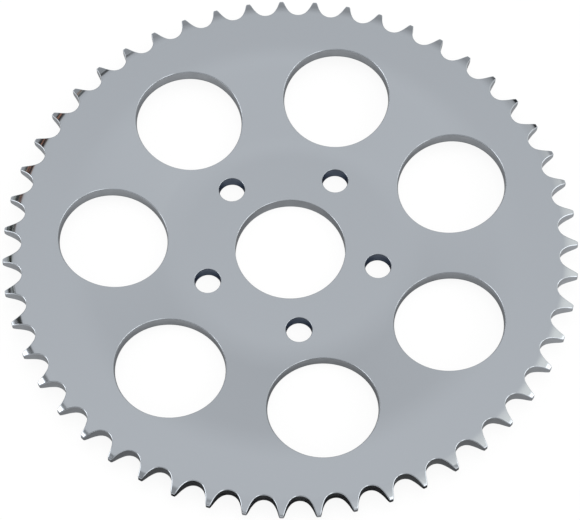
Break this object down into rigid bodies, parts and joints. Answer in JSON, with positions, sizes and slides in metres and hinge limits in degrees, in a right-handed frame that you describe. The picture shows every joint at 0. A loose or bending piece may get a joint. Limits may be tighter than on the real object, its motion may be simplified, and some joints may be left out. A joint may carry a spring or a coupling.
{
  "type": "motorcycle rear sprocket",
  "caption": "Round dished steel chain sprocket with a plain central bore, a ring of bolt holes and large round lightening holes, chrome plated.",
  "frame": {"origin": "centre of the bore on the hub's back face, which is the lowest face when the sprocket lies front up", "axes": "+Z along the bore out of the front, visible face, towards which the rim is dished; +X through the middle of one lightening hole"},
  "size_m": [0.2646, 0.2644, 0.0132],
  "materials": {
    "chrome_plate": "bright decorative chrome over polished steel, mirror smooth, with rounded edges"
  },
  "bodies": {
    "root": {"sprocket_plate": "chrome_plate"}
  },
  "joints": []
}
